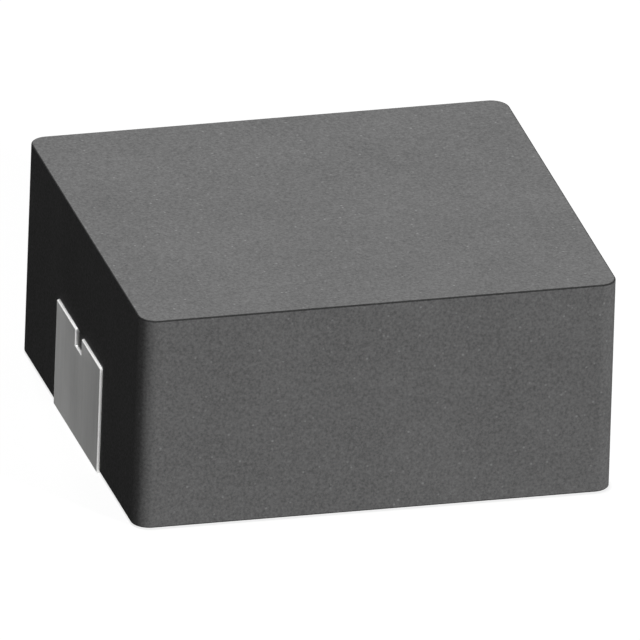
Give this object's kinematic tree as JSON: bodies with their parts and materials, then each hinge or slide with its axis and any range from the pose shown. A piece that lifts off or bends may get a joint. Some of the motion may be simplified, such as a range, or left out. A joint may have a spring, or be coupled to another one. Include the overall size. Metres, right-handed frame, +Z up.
{
  "type": "shielded smd inductor",
  "caption": "Moulded power inductor: a grey block of pressed iron powder round a flat-wire coil, with folded tinned terminals on both ends.",
  "frame": {"origin": "middle of the footprint, in the plane of the solder pads", "axes": "+X along the length from the left terminal to the right one, +Y to the back, +Z up from the circuit board"},
  "size_m": [0.011, 0.01, 0.005],
  "materials": {
    "pressed_iron_powder": "matte",
    "tinned_copper": "satin",
    "enamelled_copper": "gloss"
  },
  "bodies": {
    "root": {"moulded_body": "pressed_iron_powder", "coil_winding": "enamelled_copper", "terminal_left": "tinned_copper", "terminal_right": "tinned_copper"}
  },
  "joints": []
}
